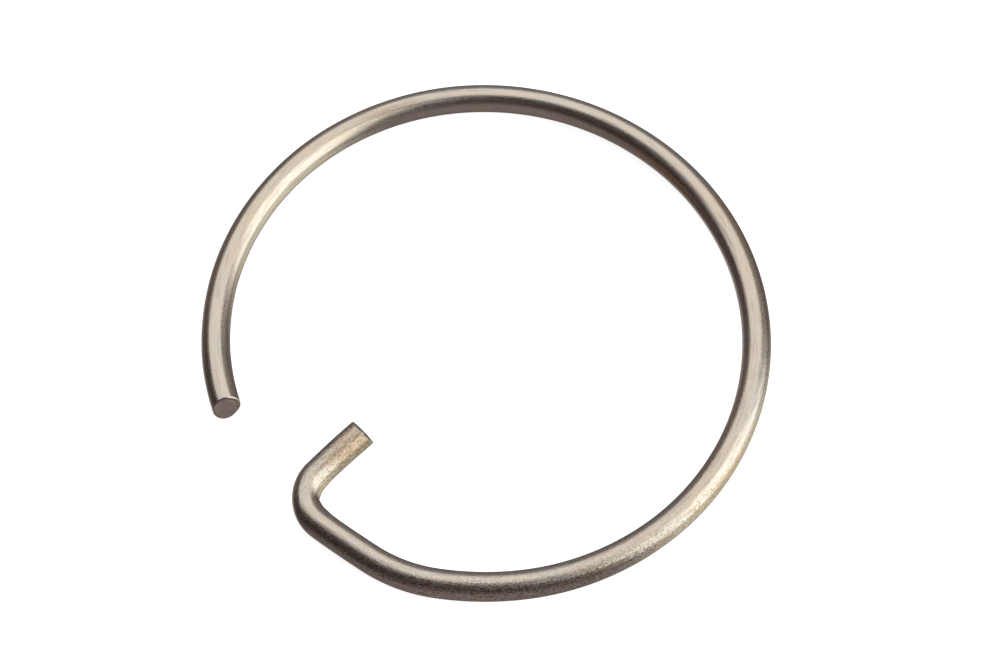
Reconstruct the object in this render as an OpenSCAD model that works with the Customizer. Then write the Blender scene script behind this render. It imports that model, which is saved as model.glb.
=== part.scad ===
// Snap ring of round spring wire, for a groove in a bore.
//
// One length of wire is coiled into a ring that stays open on one side. One end is plain. The
// other end swings in through a tight bend and finishes as a short straight tang, which pliers
// or a hook take hold of to squeeze the ring out of its groove.
//
// Frame: the origin is the centre of the coiled part, halfway up the wire. +Z is the axis of the
// ring. The tang points along +Y. The ring lies flat, so its lowest and highest points are half
// a wire below and above the origin.

/* [Wire] */
// Diameter of the round wire
wire_d = 2; // [1:0.1:3]

/* [Coiled part] */
// Outside diameter of the ring when it is free, out of its groove
free_d = 40; // [32:0.5:60]
// Angle that the evenly coiled part covers, from the hooked end round to the plain end
coil_angle = 281.1; // [200:0.1:290]

/* [Hooked end] */
// How much wider than the coil the wire's radius becomes where it leaves the coil
lead_ease = 1.7; // [0:0.1:6]
// Angle that the wire turns through at that wider radius
lead_angle = 16.8; // [5:0.1:30]
// Radius of the shoulder, to the middle of the wire
shoulder_r = 10.9; // [6:0.1:18]
// Angle that the wire turns through at the shoulder
shoulder_angle = 24.4; // [10:0.1:40]
// Radius of the slight bow between the shoulder and the tight bend, to the middle of the wire
neck_r = 80; // [30:1:150]
// Angle that the wire turns through along that bow
neck_angle = 3; // [1:0.1:5]
// Inside radius of the tight bend at the foot of the tang
bend_inside_r = 1.5; // [0.5:0.1:4]
// Angle that the wire turns through at the tight bend
bend_angle = 96.6; // [70:0.1:120]
// Straight length of the tang, along its middle
tang_len = 4.4; // [1:0.1:10]

/* [Sheared ends] */
// Lean of both end faces away from square, which sets their top edges back
shear_lean = 19; // [0:1:30]

/* [Hidden] */
$fn = 96;
// Radius of the coiled part, to the middle of the wire
coil_r = (free_d - wire_d) / 2;
// The bends of the hooked end, in order from the coil to the tang. Each is its radius to the
// middle of the wire and the angle that the wire turns through, always to the right.
BENDS = [
    [coil_r + lead_ease, lead_angle],
    [shoulder_r, shoulder_angle],
    [neck_r, neck_angle],
    [bend_inside_r + wire_d / 2, bend_angle]
];
// Number of bends in the hooked end
BEND_COUNT = len(BENDS);
// Direction in which the tang lies from the centre of the last bend, so that it points along +Y
tang_side = -180;
// Wire made past each end, for the shear to take off
spare_len = wire_d;
// Side of the block that the shear takes off, which covers the spare wire at any lean
offcut_w = 4 * wire_d;
// Step of the grid that points are first placed on
coarse_step = 0.01;

// Point at a distance from the origin, in a direction in the plane of the ring.
function polar(distance, direction) = distance * [cos(direction), sin(direction), 0];

// Direction from the centre of a bend to its start. It falls by the angle of each bend passed, and
// the first one is set by what the tang needs at the end.
function start_direction(i) =
    i == BEND_COUNT ? tang_side : start_direction(i + 1) + BENDS[i][1];

// Centre of a bend. Bends that follow each other share a tangent, so each centre lies on the line
// through the last centre and the point where the two bends meet. The coil's centre is the origin.
function centre(i) =
    i == 0
        ? polar(coil_r - BENDS[0][0], start_direction(0))
        : centre(i - 1) + polar(BENDS[i - 1][0] - BENDS[i][0], start_direction(i));

// Moves its children to a point in a coarse step and a fine one. The two hold the point so closely
// that runs of wire placed with them meet face to face.
module place(point) {
    coarse_point = coarse_step * [for (c = point) round(c / coarse_step)];
    translate(coarse_point)
        translate(point - coarse_point)
            children();
}

// A bent run of wire about the origin, from one direction through an angle to the left.
module arc_run(radius, from, angle) {
    rotate_extrude(angle = angle, start = from)
        translate([radius, 0])
            circle(d = wire_d);
}

// What the shear takes off an end. The wire comes to the origin along +Y, and the face that is
// left there turns upwards by the lean.
module offcut() {
    rotate([shear_lean, 0, 0])
        translate([-offcut_w / 2, 0, -offcut_w / 2])
            cube(offcut_w);
}

// The evenly coiled part, from the hooked end round to the sheared plain end.
module coil() {
    from = start_direction(0);
    spare_angle = spare_len / coil_r * 180 / PI;
    difference() {
        arc_run(coil_r, from, coil_angle + spare_angle);
        rotate([0, 0, from + coil_angle])
            translate([coil_r, 0, 0])
                offcut();
    }
}

// The bends that lead from the coil to the foot of the tang.
module hook_bends() {
    for (i = [0 : BEND_COUNT - 1])
        place(centre(i))
            arc_run(BENDS[i][0], start_direction(i + 1), BENDS[i][1]);
}

// The straight tang, from the last bend to its sheared tip.
module tang() {
    last = BEND_COUNT - 1;
    place(centre(last) + polar(BENDS[last][0], tang_side))
        difference() {
            rotate([-90, 0, 0])
                cylinder(d = wire_d, h = tang_len + spare_len);
            translate([0, tang_len, 0])
                offcut();
        }
}

// The whole ring, one piece of wire.
module ring() {
    color([0.60, 0.56, 0.50]) {
        coil();
        hook_bends();
        tang();
    }
}

ring();
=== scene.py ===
# %% [markdown]
# # A circlip retaining ring, bent from round spring-steel wire
# The real part is one length of 2 mm wire. It is drawn through a die, coiled to
# a 40 mm ring, given a small hook with a straight tang at one end, and sheared
# off at both ends. It snaps into a groove inside a bore and holds something in.
#
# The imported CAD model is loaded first. Everything here is in metres and in the
# frame of that model: the ring lies flat, its middle is the origin and Z is up.

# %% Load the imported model
import bpy
import math
import numpy as np
from mathutils import Matrix, Vector


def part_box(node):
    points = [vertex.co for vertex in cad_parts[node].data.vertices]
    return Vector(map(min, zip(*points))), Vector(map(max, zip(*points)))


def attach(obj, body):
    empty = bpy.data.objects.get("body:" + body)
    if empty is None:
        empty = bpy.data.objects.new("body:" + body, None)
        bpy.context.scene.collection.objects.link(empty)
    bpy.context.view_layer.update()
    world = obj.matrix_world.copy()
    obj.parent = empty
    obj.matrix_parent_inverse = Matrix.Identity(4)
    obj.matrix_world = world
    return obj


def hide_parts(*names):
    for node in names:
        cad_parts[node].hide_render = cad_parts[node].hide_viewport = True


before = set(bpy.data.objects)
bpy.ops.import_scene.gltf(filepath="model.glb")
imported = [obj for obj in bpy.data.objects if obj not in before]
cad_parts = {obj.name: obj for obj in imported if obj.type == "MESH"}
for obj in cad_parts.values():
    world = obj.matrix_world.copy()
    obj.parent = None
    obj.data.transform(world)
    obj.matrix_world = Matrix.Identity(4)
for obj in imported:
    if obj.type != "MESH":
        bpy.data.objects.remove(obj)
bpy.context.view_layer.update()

# %% [markdown]
# ## The sizes that drive the ring
# A wire form is fully given by its wire and by a list of bends. Each bend is a
# radius and a turn, and the wire always turns the same way, clockwise seen from
# above. The wire's and the coil's radius come from the model's own box, so that
# this surface and the CAD solid are the same size.

# %% Sizes
MM = 0.001
low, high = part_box("ring")
wire_r = (high.z - low.z) / 2
coil_r = high.x - wire_r
floor_z = low.z

coil_start = math.radians(241.9)
coil_turn = math.radians(281.1)
lead_r, lead_turn = coil_r + 1.7 * MM, math.radians(16.8)
shoulder_r, shoulder_turn = 10.9 * MM, math.radians(24.4)
neck_r, neck_turn = 80 * MM, math.radians(3)
hook_r, hook_turn = 1.5 * MM + wire_r, math.radians(96.6)
tang_length = 4.4 * MM
shear_lean = math.radians(19)
print("wire radius", round(wire_r / MM, 3), "mm, coil radius", round(coil_r / MM, 3), "mm")

# %% [markdown]
# ## The middle line of the wire
# On the bench the wire would be coiled on a mandrel and the hook bent round
# pins. A curve object with a bevel could show that, but its two ends could not
# be sheared on a slant, and a pattern could not be tied to the wire's length.
# So the middle line is worked out instead, as a function of the distance along
# the wire: circle arcs that share their tangents, and then a straight tang.

# %% The arcs
arc_radius = np.array([coil_r, lead_r, shoulder_r, neck_r, hook_r])
arc_turn = np.array([coil_turn, lead_turn, shoulder_turn, neck_turn, hook_turn])
arc_length = arc_radius * arc_turn
arc_from = np.concatenate([[0.0], np.cumsum(arc_length)])
arc_angle = coil_start - np.concatenate([[0.0], np.cumsum(arc_turn)])
tang_from = arc_from[-1]
wire_length = tang_from + tang_length
hook_middle = (arc_from[-2] + arc_from[-1]) / 2


def compass(angle):
    """The flat unit vector that points at an angle: (cosine, sine) of it."""
    return np.stack([np.cos(angle), np.sin(angle)], axis=-1)


# each arc's centre lies on the line through the last centre and the point where
# the two arcs meet, further back or forward by the difference of the radii
arc_step = (arc_radius[:-1] - arc_radius[1:])[:, None] * compass(arc_angle[1:-1])
arc_centre = np.concatenate([[[0.0, 0.0]], np.cumsum(arc_step, axis=0)])
print("arcs end at, mm along the wire:", np.round(arc_from[1:] / MM, 2))


# %% The middle line as a function of length
def middle_line(length):
    """The point on the wire's middle and the outward direction there, for any array of lengths.

    On arc number i the outward angle is the arc's first angle less the length
    gone along it over its radius, and the point is centre + radius * direction.
    On the tang the angle stays and the point moves straight on."""
    which = np.clip(np.searchsorted(arc_from, length, side="right") - 1, 0, len(arc_radius) - 1)
    on_arc = np.minimum(length, tang_from) - arc_from[which]
    angle = arc_angle[which] - on_arc / arc_radius[which]
    outward = compass(angle)
    point = arc_centre[which] + arc_radius[which][..., None] * outward
    onward = compass(angle - math.pi / 2)
    beyond = np.maximum(length - tang_from, 0.0)
    return point + beyond[..., None] * onward, outward


tang_foot = arc_centre[-1] + hook_r * compass(arc_angle[-1])
print("wire length", round(wire_length / MM, 2), "mm; tang starts at", np.round(tang_foot / MM, 3))

# %% [markdown]
# ## How the ends are cut
# The wire is sheared, not sawn. The blade leaves the face on a slant, rolls one
# edge over and drags up a thin lip on the side where it leaves the wire, with a
# shallow groove behind it. The face itself is a little dished. These small
# shapes decide how the end catches the light, so they are in the mesh.

# %% The cut faces
rim_round = 0.07 * MM
end_blend = 2.2 * MM
edge_rows = 6
cap_rows = 22
# for each face: the lip's angle round the wire, its spread in radians, its height, and the dish
PLAIN_CUT = (math.radians(62), 0.95, 0.11 * MM, 0.03 * MM)
TANG_CUT = (math.radians(20), 0.5, 0.05 * MM, 0.02 * MM)
# where the lip and its groove lie between the rim and the middle, and how wide they are there
lip_across, lip_width = 0.05, 0.08
groove_across, groove_width, groove_share = 0.28, 0.11, 0.8
ripple_size = 0.006 * MM


def bell(x, centre, width):
    """A smooth bump: one at the centre, falling to nothing over a few widths."""
    return np.exp(-((x - centre) / width) ** 2)


def turn_gap(a, b):
    """The smallest difference between two angles, in radians, from -pi to pi."""
    return (a - b + math.pi) % (2 * math.pi) - math.pi


def side_bell(around, centre, spread):
    """A smooth bump on one side of the wire: one at the centre angle, fading over the spread."""
    return np.exp(-(turn_gap(around, centre) / spread) ** 2)


def cut_face(across, around, lip_at, lip_spread, lip_height, dish):
    """How far the cut face stands out from its own flat plane, in metres.

    across is 0 at the rim and 1 at the middle. It is a bowl, minus the groove
    behind the lip, plus the lip, with a slow ripple left by the blade."""
    near_lip = side_bell(around, lip_at, lip_spread)
    bowl = -dish * (1 - (1 - across) ** 2)
    lip = lip_height * near_lip * bell(across, lip_across, lip_width)
    groove = -groove_share * lip_height * near_lip * bell(across, groove_across, groove_width)
    ripple = ripple_size * np.sin(9 * across + 2.0 * np.sin(around)) * across * (1 - across)
    return bowl + lip + groove + ripple


def cap_inward():
    """The rows of a cap from the rim inwards: each one's share of the way in, and the edge's turn.

    The first rows turn a quarter circle over the rounded edge, and the others
    cross the face to its middle."""
    inward = np.linspace(0, 1, cap_rows)[1:] ** 0.8
    share = np.concatenate([np.zeros(edge_rows), inward])
    turned = np.concatenate([np.linspace(0, math.pi / 2, edge_rows), np.full(len(inward), math.pi / 2)])
    return share, turned


print("each cut face has", edge_rows + cap_rows - 1, "rows, and an edge rounded to", rim_round / MM, "mm")

# %% [markdown]
# ## The section of the wire
# Drawn wire is a few thousandths out of round. The coiling pins press the plain
# end a little oval on a slant. The tight bend flattens the outside of the hook,
# pushes its sides out, and pinches the inside between two small swellings. All
# of this is a radius that changes slowly with the length and the angle.

# %% The radius of the section
# sizes, places and reaches along the wire are in metres, angles and spreads round it in radians
even_size = 0.004 * MM
oval_size, oval_twist = 0.004 * MM, 9 * MM
waver_size, waver_step = 0.003 * MM, 1.7 * MM
pressed_size, pressed_at = 0.023 * MM, math.radians(43)
pressed_until, pressed_fade = 34 * MM, 14 * MM
hook_reach, bulge_size = 1.7 * MM, 0.03 * MM
outer_flat_size, outer_flat_spread = 0.05 * MM, 0.8
pinch_size, pinch_spread = 0.11 * MM, 0.7
pinch_at, pinch_reach = hook_middle - 0.05 * MM, 0.48 * MM
swell_size, swell_spread = 0.07 * MM, 0.6
swell_from_middle, swell_reach = 1.8 * MM, 0.6 * MM


def section_radius(length, around):
    """The wire's radius at a length and an angle: the plain radius plus small, smooth departures.

    Each departure is its size, times a bump along the wire, times a bump or a
    cosine round it. The angle is 0 on the inside of the coil and pi outside."""
    oval = oval_size * np.cos(2 * around + length / oval_twist)
    waver = waver_size * np.sin(length / waver_step + 3 * np.sin(around))
    pressed = pressed_size * np.clip((pressed_until - length) / pressed_fade, 0, 1)
    pressed = pressed * np.cos(2 * (around - pressed_at))
    in_hook = bell(length, hook_middle, hook_reach)
    outer_flat = -outer_flat_size * in_hook * side_bell(around, math.pi, outer_flat_spread)
    bulge = bulge_size * in_hook * np.abs(np.sin(around))
    pinch = -pinch_size * bell(length, pinch_at, pinch_reach) * side_bell(around, 0, pinch_spread)
    swell_along = bell(np.abs(length - hook_middle), swell_from_middle, swell_reach)
    swell = swell_size * swell_along * side_bell(around, 0, swell_spread)
    return wire_r + even_size + pressed + oval + waver + outer_flat + bulge + pinch + swell


print("radius inside the hook, mm:", round(section_radius(pinch_at, 0.0) / MM, 3))
print("and on its outside, mm:", round(section_radius(hook_middle, math.pi) / MM, 3))

# %% [markdown]
# ## The wire's surface
# The surface is a grid: one way runs along the wire, the other way round it. A
# point is the middle line's point, plus the wire's radius in the direction that
# the second number gives, between inward, up, outward and down.
#
# Each point also keeps where it would lie if the wire were pulled straight, in
# millimetres. Drawing marks and grain follow that, so that they run along the
# wire and pass every bend without a seam.

# %% The rows along the wire
around_count = 64
row_step = 0.094 * MM


def rows_along():
    """Lengths of the rings of points: even steps, closer together in the hook and at the ends.

    The wanted density is summed along the wire and cut into equal shares."""
    fine = np.linspace(0, wire_length, 6000)
    density = 1 + 1.2 * bell(fine, hook_middle, 3 * MM)
    density += 1.5 * bell(fine, 0, 0.8 * MM) + 1.5 * bell(fine, wire_length, 0.8 * MM)
    share = np.cumsum(density)
    count = int(share[-1] * (fine[1] - fine[0]) / row_step)
    return np.interp(np.linspace(share[0], share[-1], count), share, fine)


print("rows along the wire:", len(rows_along()))

# %% The caps and the side, as lengths
def all_rows(around):
    """The length of every point along the wire, and the scale of every row's radius.

    The rows are the first cap from its middle out to the rim, the side of the
    wire, and the second cap from its rim in. On a cap the scale shrinks to
    nothing while the length follows the rounded edge and then the cut face."""
    side = rows_along()
    side = side[(side > rim_round) & (side < wire_length - rim_round)]
    share, turned = cap_inward()
    on_face = np.sin(turned)[:, None]
    rim_step = rim_round * on_face
    plain = rim_round - rim_step - cut_face(share[:, None], around[None], *PLAIN_CUT) * on_face
    tang = wire_length - rim_round + rim_step + cut_face(share[:, None], around[None], *TANG_CUT) * on_face
    length = np.concatenate([plain[::-1], np.repeat(side[:, None], around_count, 1), tang])
    rim_drop = rim_round * (1 - np.cos(turned))
    shrink = (wire_r - rim_drop) * (1 - share) / wire_r
    scale = np.concatenate([shrink[::-1], np.ones(len(side)), shrink])[:, None]
    return length, scale


turns = np.linspace(0, 2 * math.pi, around_count, endpoint=False) - math.pi / 2
row_length, row_scale = all_rows(turns)
print("rows with both caps:", len(row_length), "of", around_count, "points each")

# %% [markdown]
# ## The last millimetres of the wire
# The blade drags the wire as well as the face. Near each end the rows lean over
# until they match the slanted cut. The plain end has one corner flattened and
# another rolled out, and the tang has a small burr. Both ends are left a little
# further inwards than the bends say. Cutting the wire with a plane would show
# none of this, so the grid itself is slid, pressed and pushed.

# %% What the shear does to the ends
# for each changed corner of the plain end: its angle round the wire and its spread in radians,
# its reach along the wire, and its change as a share of the radius
FLATTENED = (math.radians(-48), 0.62, 0.7 * MM, -0.115)
ROLLED_OUT = (math.radians(50), 0.8, 0.35 * MM, 0.02)
# the burr's place and width are shares of the radius, inwards from the middle and down from the top
burr_size, burr_fade = 0.14 * MM, 10
burr_inward, burr_width, burr_depth = 0.32, 0.11, 0.3
lean_fade, tang_skew = 1.5, 0.10 * MM
plain_push, plain_push_over = 0.055 * MM, 5 * MM
tang_push, tang_push_over = 0.10 * MM, 3.8 * MM
tang_widening, widening_reach = 0.03, 3 * MM


def corner_share(length, around, at, spread, reach, change):
    """The share of the radius that a corner keeps: one, plus its change times a bump along and one round."""
    return 1 + change * bell(length, 0, reach) * side_bell(around, at, spread)


def end_slide(length, height, inward):
    """How far each point slides along the wire near the two ends, in metres.

    It is height * tan(lean), faded out over a short stretch so that the rows
    turn gradually from square to slanted. The tang adds a burr on its upper
    inner edge, and takes away a skew that grows inwards."""
    from_plain = np.clip(1 - length / end_blend, 0, 1)
    from_tang = np.clip(1 - (wire_length - length) / end_blend, 0, 1)
    slide = height * math.tan(shear_lean) * (from_plain ** lean_fade - from_tang ** lean_fade)
    burr = burr_size * bell(inward, burr_inward, burr_width) * bell(height / wire_r, 1.0, burr_depth)
    burr = burr * from_tang ** burr_fade
    skew = tang_skew * inward * from_tang ** lean_fade
    return slide + (burr - skew)


def end_push(length):
    """How far the two ends lie inwards of the bends: each size fades with the square of the distance."""
    from_plain = np.clip(1 - length / plain_push_over, 0, 1)
    from_tang = np.clip(1 - (wire_length - length) / tang_push_over, 0, 1)
    return plain_push * from_plain ** 2 + tang_push * from_tang ** 2


print("the ends lie inwards by, mm:", np.round(end_push(np.array([0.0, wire_length])) / MM, 3))


# %% The skin's points
def wire_surface(around, length, scale):
    """The skin's points, row by row, and each one's place on the straightened wire, in millimetres.

    The radius is the section's radius times the row's scale and the shares that
    the plain end's corners keep. From the middle line a point goes up by radius
    * sine and inwards by radius * cosine of its angle, a little more so at the
    end of the tang, and further inwards by the push."""
    radius = section_radius(length, around) * scale
    radius = radius * corner_share(length, around, *FLATTENED)
    radius = radius * corner_share(length, around, *ROLLED_OUT)
    height = radius * np.sin(around)
    along = length + end_slide(length, height, radius * np.cos(around) / wire_r)
    point, outward = middle_line(along)
    widened = 1 + tang_widening * bell(length, wire_length, widening_reach)
    flat = point - (end_push(length) + widened * radius * np.cos(around))[..., None] * outward
    skin = np.concatenate([flat, height[..., None]], axis=-1)
    straight = np.stack([along, radius * np.cos(around), height], axis=-1) / MM
    return skin, straight


skin, straight = wire_surface(turns, row_length, row_scale)
print("the skin is a grid of", skin.shape[0], "by", skin.shape[1], "points")

# %% [markdown]
# ## From points to a closed mesh
# The grid's rows are joined by quads. The first and the last row have shrunk to
# one point each, so there the quads would be empty, and a fan of triangles
# closes each cap on a single pole instead. That leaves no seam and no hole. All
# the faces are listed the same way round, and they point into the wire, as the
# sign of the volume below shows. Reversing their corners would turn them out.

# %% Faces
def close_skin(skin, straight):
    """Vertices, places, quads and fans of the closed skin, with one pole in place of each end row."""
    rows = len(skin) - 2
    body = skin[1:-1].reshape(-1, 3)
    vertices = np.concatenate([body, skin[:1, 0], skin[-1:, 0]])
    places = np.concatenate([straight[1:-1].reshape(-1, 3), straight[:1, 0], straight[-1:, 0]])
    row = np.arange(rows - 1)[:, None] * around_count
    here = np.arange(around_count)[None]
    after = (here + 1) % around_count
    quads = np.stack([row + here, row + after, row + around_count + after, row + around_count + here], -1)
    top = (rows - 1) * around_count
    first_pole = np.full(around_count, len(body))
    first_fan = np.stack([first_pole, after[0], here[0]], -1)
    last_fan = np.stack([first_pole + 1, top + here[0], top + after[0]], -1)
    return vertices, places, quads.reshape(-1, 4), np.concatenate([first_fan, last_fan])


def enclosed_volume(vertices, quads, fans):
    """The signed volume in a closed skin: a sixth of the sum of a . (b x c) over its triangles.

    It is positive when the faces point outwards and negative when they point inwards."""
    triangles = np.concatenate([quads[:, [0, 1, 2]], quads[:, [0, 2, 3]], fans])
    a, b, c = (vertices[triangles[:, corner]] for corner in range(3))
    return (a * np.cross(b, c)).sum() / 6


vertices, places, quads, fans = close_skin(skin, straight)
print("skin:", len(vertices), "points,", 2 * len(quads) + len(fans), "triangles")
print("signed volume, mm3:", round(enclosed_volume(vertices, quads, fans) / MM ** 3, 1))


# %% The object
def fill_mesh(name, vertices, quads, fans):
    """A mesh from arrays, put in with foreach_set: corners of the quads first, then of the triangles."""
    mesh = bpy.data.meshes.new(name)
    corners = np.concatenate([quads.ravel(), fans.ravel()]).astype(np.int32)
    sizes = np.concatenate([np.full(len(quads), 4), np.full(len(fans), 3)])
    starts = np.concatenate([[0], np.cumsum(sizes)[:-1]]).astype(np.int32)
    mesh.vertices.add(len(vertices))
    mesh.vertices.foreach_set("co", vertices.astype(np.float32).ravel())
    mesh.loops.add(len(corners))
    mesh.loops.foreach_set("vertex_index", corners)
    mesh.polygons.add(len(sizes))
    mesh.polygons.foreach_set("loop_start", starts)
    mesh.update(calc_edges=True)
    mesh.validate()
    mesh.shade_smooth()
    return mesh


ring_mesh = fill_mesh("ring_wire", vertices, quads, fans)
on_wire = ring_mesh.attributes.new("on_wire", "FLOAT_VECTOR", "POINT")
on_wire.data.foreach_set("vector", places.astype(np.float32).ravel())
ring = bpy.data.objects.new("ring_wire", ring_mesh)
bpy.context.scene.collection.objects.link(ring)
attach(ring, "root")
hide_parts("ring")
print("ring:", len(ring_mesh.vertices), "points,", len(ring_mesh.polygons), "faces")

# %% [markdown]
# ## Small tools for materials
# Each material below is a graph of nodes. These helpers add one node, or one
# group with named sockets, so that the cells that follow read as a recipe.

# %% Node helpers
def feed(tree, socket, value):
    """Gives a socket its value: another socket is joined to it, and a plain value is set on it."""
    if isinstance(value, bpy.types.NodeSocket):
        tree.links.new(value, socket)
    else:
        socket.default_value = value


def add(tree, kind, inputs=None, **settings):
    """Adds one node. Inputs are plain values, or sockets to be joined to it."""
    new = tree.nodes.new(kind)
    for name, value in settings.items():
        setattr(new, name, value)
    for name, value in (inputs or {}).items():
        feed(tree, new.inputs[name], value)
    return new


def calc(tree, operation, a, b=0.0, clamp=False):
    """One sum on numbers, such as ADD or MULTIPLY, and its result's socket."""
    return add(tree, "ShaderNodeMath", {0: a, 1: b}, operation=operation, use_clamp=clamp).outputs[0]


def vector_calc(tree, operation, a, b=(0, 0, 0), result="Vector"):
    """One sum on vectors, and its result's socket: Vector, or Value for lengths and dot products."""
    return add(tree, "ShaderNodeVectorMath", {0: a, 1: b}, operation=operation).outputs[result]


def blend(tree, share, first, second):
    """The second colour laid over the first by a share from 0 to 1."""
    mix = add(tree, "ShaderNodeMix", data_type="RGBA")
    for socket, value in ((mix.inputs[0], share), (mix.inputs[6], first), (mix.inputs[7], second)):
        feed(tree, socket, value)
    return mix.outputs[2]


def ramp(tree, value, start, end, to_min=0.0, to_max=1.0):
    """A value turned smoothly from one range into another."""
    inputs = {"Value": value, "From Min": start, "From Max": end, "To Min": to_min, "To Max": to_max}
    return add(tree, "ShaderNodeMapRange", inputs, interpolation_type="SMOOTHSTEP").outputs["Result"]


# %% Helpers for groups and materials
def group(name, inputs, outputs):
    """An empty shader group with these named sockets, and its input and output nodes."""
    tree = bpy.data.node_groups.new(name, "ShaderNodeTree")
    kinds = {"vector": "NodeSocketVector", "value": "NodeSocketFloat"}
    for socket, kind in inputs.items():
        tree.interface.new_socket(socket, in_out="INPUT", socket_type=kinds[kind])
    for socket, kind in outputs.items():
        tree.interface.new_socket(socket, in_out="OUTPUT", socket_type=kinds[kind])
    return tree, add(tree, "NodeGroupInput"), add(tree, "NodeGroupOutput")


def place_group(tree, made, inputs):
    """Puts a group into a material with its own values."""
    node = tree.nodes.new("ShaderNodeGroup")
    node.node_tree = made
    for name, value in inputs.items():
        feed(tree, node.inputs[name], value)
    return node


def new_material(name):
    """A new material, its tree and its Principled shader."""
    material = bpy.data.materials.new(name)
    material.use_nodes = True
    return material, material.node_tree, material.node_tree.nodes["Principled BSDF"]


# %% [markdown]
# ## Grain, shared by the drawn skin and the cut faces
# Cold-drawn wire is covered in fine lines that run its length, and between them
# the skin is matte from the drawing soap. The cut faces carry the same kind of
# marks, only across and coarser. One group makes both: it stretches the place on
# the wire, so a round noise becomes long streaks, and adds a fine even grain.

# %% The grain group
grain_group, g_in, g_out = group(
    "metal_grain",
    {"Place": "vector", "Stretch": "vector", "Grain Stretch": "vector"},
    {"Lines": "value", "Grain": "value", "Height": "value"},
)


def stretched_noise(tree, place, stretch, detail, roughness):
    """Noise of size one on the place times the stretch: a larger number makes finer marks that way."""
    scaled = vector_calc(tree, "MULTIPLY", place, stretch)
    inputs = {"Vector": scaled, "Scale": 1.0, "Detail": detail, "Roughness": roughness}
    return add(tree, "ShaderNodeTexNoise", inputs).outputs["Fac"]


lines = stretched_noise(grain_group, g_in.outputs["Place"], g_in.outputs["Stretch"], 3.0, 0.6)
fine = stretched_noise(grain_group, g_in.outputs["Place"], g_in.outputs["Grain Stretch"], 2.0, 0.7)
height = calc(grain_group, "ADD", calc(grain_group, "MULTIPLY", lines, 0.5),
              calc(grain_group, "MULTIPLY", fine, 0.5))
for socket, value in (("Lines", lines), ("Grain", fine), ("Height", height)):
    grain_group.links.new(value, g_out.inputs[socket])
print("grain group:", [s.name for s in grain_group.interface.items_tree])

# %% [markdown]
# ## A spot, for single marks and stains
# A scratch, a pit or a patch of straw-coloured heat tint each sit at one place
# on the wire. The group takes that place and a size in three directions, and
# puts out one inside the spot, falling to nothing at its edge.

# %% The spot group
spot_group, s_in, s_out = group(
    "spot", {"Place": "vector", "At": "vector", "Size": "vector"}, {"Mask": "value"})
offset = vector_calc(spot_group, "SUBTRACT", s_in.outputs["Place"], s_in.outputs["At"])
sized = vector_calc(spot_group, "DIVIDE", offset, s_in.outputs["Size"])
far = vector_calc(spot_group, "LENGTH", sized, result="Value")
spot_group.links.new(ramp(spot_group, far, 1.0, 0.0), s_out.inputs["Mask"])


def spot(tree, place, length, around, along, across):
    """A mask round one place on the wire, in mm along it and degrees round it, with its size in mm."""
    turn = math.radians(around)
    at = (length, wire_r / MM * math.cos(turn), wire_r / MM * math.sin(turn))
    inputs = {"Place": place, "At": at, "Size": (along, across, across)}
    return place_group(tree, spot_group, inputs).outputs["Mask"]


print("spot group:", [s.name for s in spot_group.interface.items_tree])

# %% [markdown]
# ## The colours of the drawn wire
# Spring wire like this has a thin warm film from pickling and from heat. It is a
# metal all over, so its colour is the colour of its reflections: grey and rose
# in slow patches, and straw, khaki and gold where it was heated. The stains are
# a table, because each one is only a place, a size, a strength and a colour.

# %% Colours and stains
GREY = (0.67, 0.648, 0.588, 1)
BLUISH = (0.64, 0.65, 0.66, 1)
ROSE = (0.715, 0.643, 0.57, 1)
STRAW = (0.70, 0.575, 0.385, 1)
BROWN = (0.36, 0.27, 0.205, 1)
PALE = (0.93, 0.89, 0.82, 1)
KHAKI = (0.50, 0.42, 0.27, 1)
GOLD = (0.44, 0.325, 0.20, 1)
AMBER = (0.95, 0.50, 0.22, 1)
DARK = (0.17, 0.13, 0.11, 1)
UMBER = (0.30, 0.225, 0.17, 1)

# mm from the plain end, degrees round (0 inside, 90 on top, 180 outside), half length and half
# width in mm, strength, colour; a later one lies over an earlier one
STAINS = [
    (56.0, 90, 16.0, 1.6, 0.9, ROSE),
    (51.0, 24, 8.0, 0.35, 0.6, AMBER),
    (51.5, 36, 5.0, 0.08, 0.9, AMBER),
    (80.6, 62, 2.2, 0.4, 0.9, BLUISH),
    (82.3, 45, 1.6, 0.1, 0.7, DARK),
    (85.5, 44, 2.4, 0.08, 0.6, DARK),
    (3.0, 119, 2.2, 0.1, 0.7, DARK),
    (6.0, 121, 3.0, 0.08, 0.5, PALE),
    (112.2, 22, 1.8, 0.9, 0.8, STRAW),
    (57.0, 132, 4.0, 0.3, 0.7, AMBER),
    (91.0, 128, 8.0, 0.11, 0.9, DARK),
    (87.5, 140, 5.0, 0.09, 0.7, DARK),
    (18.0, 70, 13.0, 1.1, 0.45, STRAW),
    (26.0, 62, 4.5, 0.8, 0.9, STRAW),
    (29.0, 84, 4.0, 0.25, 0.6, BROWN),
    (88.0, 128, 11.0, 0.26, 0.8, BROWN),
    (81.6, 124, 0.6, 0.45, 1.5, BLUISH),
    (80.2, 78, 0.12, 0.12, 1.0, BROWN),
    (77.2, 98, 0.12, 0.15, 1.0, BROWN),
    (87.0, 113, 6.0, 0.45, 0.75, STRAW),
    (58.0, 112, 6.0, 0.9, 0.5, STRAW),
    (79.5, 100, 7.0, 1.0, 0.6, STRAW),
    (78.0, 150, 8.0, 0.8, 0.9, KHAKI),
    (115.3, 44, 4.0, 1.7, 1.45, GOLD),
    (113.7, 76, 3.6, 0.26, 1.2, GOLD),
]
print(len(STAINS), "stains and marks")

# %% [markdown]
# ## How rough each part of the wire is
# The last third, next to the hook, was gripped and heated while it was bent. It
# is rougher than the rest, most of all on its outer side and on the tang, which
# went through the bending tool. Two masks along the wire say how strong the
# relief is and how thick the pale and dark flecks lie.

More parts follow.
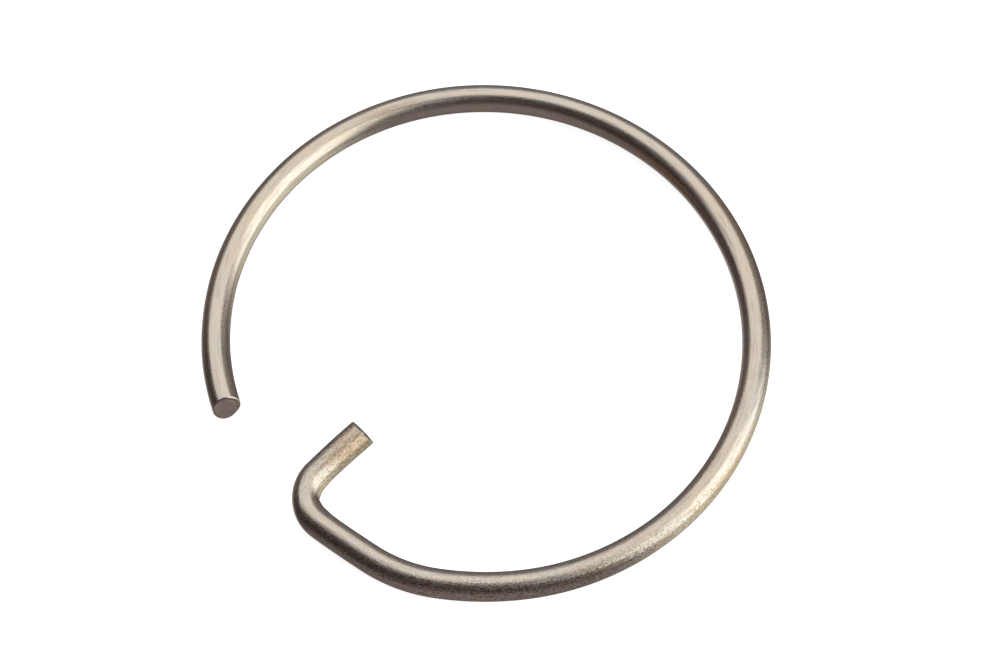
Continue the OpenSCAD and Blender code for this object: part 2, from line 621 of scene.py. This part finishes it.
# %% The wire's place, grain and masks
wire_skin, t, surface = new_material("drawn_wire")
place = add(t, "ShaderNodeAttribute", attribute_name="on_wire").outputs["Vector"]
along_wire = add(t, "ShaderNodeSeparateXYZ", {0: place}).outputs["X"]
stretches = {"Stretch": (0.5, 6.0, 6.0), "Grain Stretch": (5.5, 13.0, 13.0)}
grain = place_group(t, grain_group, {"Place": place, **stretches}).outputs
slow_place = vector_calc(t, "MULTIPLY", place, (0.3, 1.0, 1.0))
slow = add(t, "ShaderNodeTexNoise", {"Vector": slow_place, "Scale": 1.0, "Detail": 3.0}).outputs["Fac"]

# in mm along the wire; the tight bend begins at about 108 and the tang at about 112
grip_starts, grip_full = 56.0, 76.0
# the middle of the gripped outer side: mm along the wire, and degrees round it
outer_grip = (93.0, 138)
relief_here = ramp(t, along_wire, grip_starts, grip_full, 0.21, 1.0)
relief_here = calc(t, "ADD", relief_here, ramp(t, along_wire, 108.5, 113.5, 0.0, 0.55))
relief_outside = calc(t, "MULTIPLY", spot(t, place, *outer_grip, 20.0, 1.3), 1.5)
relief_here = calc(t, "ADD", relief_here, relief_outside)
flecked = calc(t, "MULTIPLY", spot(t, place, *outer_grip, 22.0, 1.3), 2.2)
flecked = calc(t, "ADD", flecked, ramp(t, along_wire, 109.5, 113.0, 0.0, 1.1))
flecked = calc(t, "ADD", flecked, ramp(t, along_wire, grip_starts, grip_full, 0.15, 0.5))
print("grain sockets:", [socket.name for socket in grain])

# %% [markdown]
# ## Laying the colours over each other
# Slow patches come first, then the stains, then the drawing lines and last the
# flecks. Every stain is broken up by the grain, because the film is thinner on
# the high points. The same grain drives the roughness and a very low bump.

# %% Material of the drawn wire
tint = blend(t, ramp(t, slow, 0.4, 0.6), GREY, ROSE)
for length, around, along, across, strength, colour in STAINS:
    mask = spot(t, place, length, around, along, across)
    mask = calc(t, "MULTIPLY", mask, ramp(t, slow, 0.3, 0.6, 0.6 * strength, strength))
    mask = calc(t, "MULTIPLY", mask, ramp(t, grain["Grain"], 0.42, 0.6, 1.1, 0.45), clamp=True)
    tint = blend(t, mask, tint, colour)

dark_flecks = calc(t, "MULTIPLY", ramp(t, grain["Grain"], 0.49, 0.34, 0.0, 0.65), flecked, clamp=True)
pale_flecks = calc(t, "MULTIPLY", ramp(t, grain["Grain"], 0.52, 0.66, 0.0, 0.6), flecked, clamp=True)
pale_flecks = calc(t, "MULTIPLY", pale_flecks, ramp(t, along_wire, 109.5, 112.5, 1.0, 0.35))
in_lines = ramp(t, grain["Lines"], 0.58, 0.42, 0.1, 1.1)
pale_flecks = calc(t, "MULTIPLY", pale_flecks, in_lines, clamp=True)
tint = blend(t, ramp(t, grain["Lines"], 0.5, 0.72, 0.0, 0.38), tint, BROWN)
tint = blend(t, ramp(t, grain["Lines"], 0.47, 0.33, 0.0, 0.4), tint, STRAW)
tint = blend(t, dark_flecks, tint, UMBER)
tint = blend(t, pale_flecks, tint, PALE)
t.links.new(tint, surface.inputs["Base Color"])
surface.inputs["Metallic"].default_value = 1.0

rough = calc(t, "ADD", ramp(t, grain["Lines"], 0.3, 0.7, 0.26, 0.34),
             ramp(t, grain["Grain"], 0.35, 0.65, -0.03, 0.04))
t.links.new(rough, surface.inputs["Roughness"])
relief = calc(t, "MULTIPLY", grain["Height"], relief_here)
bump = add(t, "ShaderNodeBump", {"Height": relief, "Strength": 1.0, "Distance": 0.017 * MM})
t.links.new(bump.outputs[0], surface.inputs["Normal"])
print("nodes in the drawn wire:", len(t.nodes))

# %% [markdown]
# ## The sheared faces
# Where the blade cut, the film is gone and bare steel shows. It is a little
# brighter in colour but far rougher, so it looks duller than the skin. The same
# grain group serves, stretched across the face instead of along the wire.

# %% Material of the sheared faces
cut_metal, t, surface = new_material("sheared_face")
place = add(t, "ShaderNodeAttribute", attribute_name="on_wire").outputs["Vector"]
stretches = {"Stretch": (4.0, 2.0, 12.0), "Grain Stretch": (10.0, 10.0, 10.0)}
grain = place_group(t, grain_group, {"Place": place, **stretches}).outputs
cut_dark, cut_pale = (0.60, 0.53, 0.48, 1), (0.80, 0.73, 0.67, 1)
tint = blend(t, ramp(t, grain["Lines"], 0.35, 0.7), cut_dark, cut_pale)
t.links.new(tint, surface.inputs["Base Color"])
surface.inputs["Metallic"].default_value = 1.0
t.links.new(ramp(t, grain["Grain"], 0.3, 0.7, 0.42, 0.58), surface.inputs["Roughness"])
bump = add(t, "ShaderNodeBump", {"Height": grain["Height"], "Strength": 1.0, "Distance": 0.012 * MM})
t.links.new(bump.outputs[0], surface.inputs["Normal"])
print("nodes in the sheared faces:", len(t.nodes))

# %% Which faces are bare
ring_mesh.materials.append(wire_skin)
ring_mesh.materials.append(cut_metal)
# the first cut face's quads come first and the second's come last, before the two fans at the poles
cap_faces = (cap_rows - 3) * around_count
material_index = np.zeros(len(ring_mesh.polygons), np.int32)
material_index[:cap_faces] = 1
material_index[len(quads) - cap_faces:] = 1
ring_mesh.polygons.foreach_set("material_index", material_index)
print("bare faces:", int(material_index.sum()), "of", len(material_index))

# %% [markdown]
# ## The camera
# The camera looks down at the ring from the front right, through a long lens
# from close by, and leans a little. Its three axes are worked out from the
# azimuth, the elevation and the roll, so that no other object is needed to aim it.

# %% Camera
camera_azimuth = math.radians(40.80)
camera_elevation = math.radians(64.37)
camera_roll = math.radians(2.69)
camera_distance = 175.7 * MM
looks_at = Vector((0.79 * MM, 0.51 * MM, 0))

front = Vector((math.sin(camera_azimuth), -math.cos(camera_azimuth), 0))
right = Vector((math.cos(camera_azimuth), math.sin(camera_azimuth), 0))
up = Vector((0, 0, 1))
back = front * math.cos(camera_elevation) + up * math.sin(camera_elevation)
image_up = back.cross(right)
image_x = right * math.cos(camera_roll) + image_up * math.sin(camera_roll)
image_y = image_up * math.cos(camera_roll) - right * math.sin(camera_roll)
eye = looks_at + back * camera_distance


def placed(x_axis, y_axis, z_axis, point):
    """The matrix of an object with these three axes at this point."""
    return Matrix([*zip(x_axis, y_axis, z_axis, point), (0, 0, 0, 1)])


camera_data = bpy.data.cameras.new("camera")
camera_data.lens = 90
camera_data.sensor_width = 36
camera_data.clip_start = 0.01
camera_data.clip_end = 20
camera = bpy.data.objects.new("camera", camera_data)
bpy.context.scene.collection.objects.link(camera)
camera.matrix_world = placed(image_x, image_y, back, eye)
bpy.context.scene.camera = camera
print("camera at, mm:", [round(c / MM, 1) for c in eye])

# %% [markdown]
# ## The floor
# The ring lies on a large sheet of white paper. The paper glows a little, and
# more so far away, so that it meets the white beyond it without a line and the
# ring's own shadow stays faint. It doesn't show in reflections: there the wire
# mirrors the studio that is painted further down.

# %% Floor
floor_size = 6.0
floor_mesh = bpy.data.meshes.new("floor")
corners = floor_size / 2 * np.array([[-1, -1], [1, -1], [1, 1], [-1, 1]])
floor_mesh.from_pydata([(x, y, floor_z) for x, y in corners], [], [(0, 1, 2, 3)])
floor = bpy.data.objects.new("floor", floor_mesh)
bpy.context.scene.collection.objects.link(floor)
floor.visible_glossy = False

paper, t, surface = new_material("pale_paper")
surface.inputs["Base Color"].default_value = (0.9, 0.9, 0.9, 1)
surface.inputs["Roughness"].default_value = 1.0
surface.inputs["Specular IOR Level"].default_value = 0.0
floor_place = add(t, "ShaderNodeTexCoord").outputs["Object"]
from_ring = vector_calc(t, "LENGTH", floor_place, result="Value")
near_edge, far_edge = 0.06, 0.5
glow = blend(t, ramp(t, from_ring, near_edge, far_edge), (0.86, 0.86, 0.86, 1), (1, 1, 1, 1))
t.links.new(glow, surface.inputs["Emission Color"])
surface.inputs["Emission Strength"].default_value = 1.0
floor_mesh.materials.append(paper)
print("floor:", floor_size, "m wide at", round(floor_z / MM, 2), "mm")

# %% [markdown]
# ## The lights
# A shiny round wire shows little but its surroundings, so the lights are chosen
# for the bands that they draw along it. A tall soft box stands to the right of
# the camera, and a wide dimmer sheet hangs behind and above. The rest of the
# studio is dark, which gives the wire its dark edges against the pale floor.

# %% Area lights
def toward(azimuth, elevation):
    """A direction in the studio: azimuth 0 is toward the camera and 90 is to its right, in degrees."""
    a, e = math.radians(azimuth), math.radians(elevation)
    return (front * math.cos(a) + right * math.sin(a)) * math.cos(e) + up * math.sin(e)


def panel(name, centre, facing, width, height, brightness, colour):
    """A rectangular light of even brightness.

    Its power is brightness * area * pi, so its size doesn't change how bright it looks."""
    data = bpy.data.lights.new(name, "AREA")
    data.shape = "RECTANGLE"
    data.size = width
    data.size_y = height
    data.energy = brightness * width * height * math.pi
    data.color = colour
    light = bpy.data.objects.new(name, data)
    bpy.context.scene.collection.objects.link(light)
    z_axis = -facing.normalized()
    x_axis = up.cross(z_axis)
    x_axis = right if x_axis.length < 0.01 else x_axis.normalized()
    light.matrix_world = placed(x_axis, z_axis.cross(x_axis), z_axis, centre)
    light.visible_camera = False
    return light


key_azimuth, key_tilt, key_distance = 79, 8, 0.62
key_width, key_height, key_foot = 0.76, 1.34, 0.04
key_at = toward(key_azimuth, 0) * key_distance + up * (key_height / 2 + key_foot)
key_facing = -toward(key_azimuth, key_tilt)
panel("soft_box", key_at, key_facing, key_width, key_height, 1.65, (0.99, 1.0, 0.99))

sheet_left, sheet_right, sheet_near, sheet_far, sheet_high = -1.00, 0.435, 0.015, 1.30, 0.6
sheet_width, sheet_depth = sheet_right - sheet_left, sheet_far - sheet_near
sheet_at = right * (sheet_left + sheet_right) / 2 - front * (sheet_near + sheet_far) / 2 + up * sheet_high
panel("back_panel", sheet_at, -up, sheet_width, sheet_depth, 0.99, (0.98, 0.945, 0.905))
print("soft box at, m:", [round(c, 2) for c in key_at], "sheet at, m:", [round(c, 2) for c in sheet_at])

# %% [markdown]
# ## The studio beyond the lights
# In a real studio the wire also mirrors the table, the walls and the people. A
# painted surround stands in for them: dark above, a little lighter below, with
# soft pools of light where the table and the walls are lit. Straight from the
# camera it is plain white, so only the reflections show it.

# %% The studio
world = bpy.data.worlds.new("studio")
world.use_nodes = True
bpy.context.scene.world = world
t = world.node_tree
direction = add(t, "ShaderNodeTexCoord").outputs["Generated"]
level = add(t, "ShaderNodeSeparateXYZ", {0: direction}).outputs["Z"]

# azimuth and elevation, the radius of the even middle and of the faded edge, all in degrees,
# and the colour; a later pool lies over an earlier one
POOLS = [
    (2, -24, 10, 60, (0.235, 0.198, 0.19, 1)),
    (-85, -22, 8, 30, (0.07, 0.055, 0.055, 1)),
    (-140, 8, 8, 35, (0.14, 0.11, 0.095, 1)),
    (138, 20, 8, 30, (0.21, 0.172, 0.145, 1)),
    (175, -10, 15, 42, (0.185, 0.183, 0.20, 1)),
    (-128, -58, 8, 30, (0.44, 0.415, 0.41, 1)),
    (115, -58, 4, 28, (0.47, 0.44, 0.385, 1)),
    (178, -46, 12, 34, (0.11, 0.10, 0.105, 1)),
    (84, -36, 8, 32, (0.84, 0.79, 0.68, 1)),
    (80, -12, 8, 32, (0.90, 0.86, 0.72, 1)),
]


def pool(azimuth, elevation, inner, outer):
    """A soft round patch of the studio: one within the inner angle, nothing beyond the outer one."""
    near = vector_calc(t, "DOT_PRODUCT", direction, toward(azimuth, elevation), "Value")
    return ramp(t, near, math.cos(math.radians(outer)), math.cos(math.radians(inner)))


walls, table = (0.041, 0.029, 0.029, 1), (0.165, 0.135, 0.135, 1)
shade = blend(t, ramp(t, level, 0.1, -0.5), walls, table)
for azimuth, elevation, inner, outer, colour in POOLS:
    shade = blend(t, pool(azimuth, elevation, inner, outer), shade, colour)
seen = add(t, "ShaderNodeLightPath").outputs["Is Camera Ray"]
shade = blend(t, seen, shade, (1, 1, 1, 1))
t.links.new(shade, t.nodes["Background"].inputs["Color"])

bpy.context.scene.view_settings.view_transform = "Standard"
bpy.context.scene.view_settings.look = "None"
print(len(POOLS), "pools of light in the studio")
